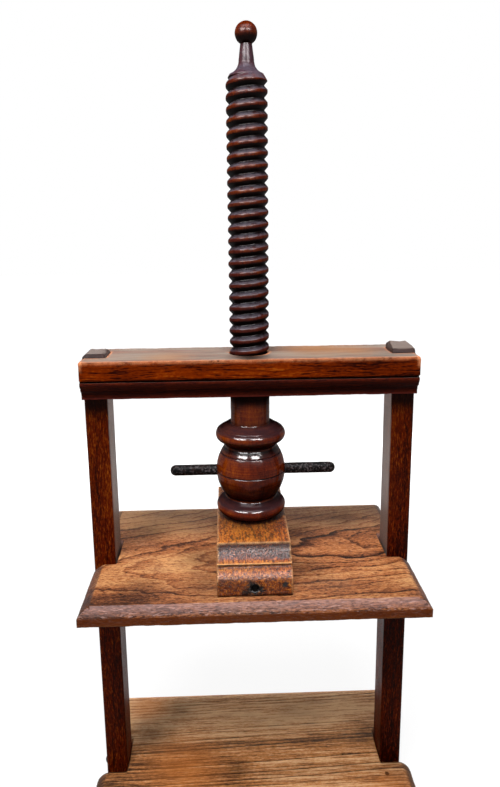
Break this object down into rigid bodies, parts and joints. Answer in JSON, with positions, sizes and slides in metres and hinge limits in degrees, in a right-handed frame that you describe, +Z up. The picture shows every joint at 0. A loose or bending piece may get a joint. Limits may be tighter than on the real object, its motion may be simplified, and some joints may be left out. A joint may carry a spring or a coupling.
{
  "type": "screw book press",
  "caption": "Oak book press: a wooden screw in a beam across two posts drives a moulded platen board down onto a moulded base board, turned with an iron bar through its bulb.",
  "frame": {"origin": "underside of the base board, in the middle of its length and depth", "axes": "+X to the right seen from the front, +Y to the back, +Z up along the screw"},
  "size_m": [0.38, 0.244, 0.8657],
  "materials": {
    "oak_base": "old wax polish",
    "oak_post": "old wax polish",
    "oak_beam": "old wax polish",
    "oak_platen": "old wax polish",
    "oak_block": "old wax polish",
    "screw_wood": "glossy polish, dark in the thread",
    "iron": "dark, dull",
    "bar_iron": "black, pitted, specks of rust"
  },
  "bodies": {
    "frame": {"base_board": "oak_base", "left_post": "oak_post", "right_post": "oak_post", "top_beam": "oak_beam", "beam_screws": "iron", "post_bolts": "iron"},
    "platen_carriage": {"platen": "oak_platen", "bridge_block": "oak_block", "bridge_screws": "iron", "garter_peg": "iron"},
    "screw": {"press_screw": "screw_wood", "finial_ball": "screw_wood"},
    "bar": {"tommy_bar": "bar_iron"}
  },
  "joints": [
    {"name": "platen_slide", "type": "slide", "parent": "frame", "child": "platen_carriage", "axis": [0, 0, 1], "range_m": [-0.2585, 0]},
    {"name": "screw_turn", "type": "hinge", "parent": "platen_carriage", "child": "screw", "pos_m": [0, 0, 0.34], "axis": [0, 0, 1], "range_deg": [-7752, 0]},
    {"name": "bar_slide", "type": "slide", "parent": "screw", "child": "bar", "axis": [1, 0, 0], "range_m": [-0.05, 0.05]}
  ],
  "couplings": [
    {"joint": "platen_slide", "follows": "screw_turn", "m_per_rad": 0.0019099}
  ]
}
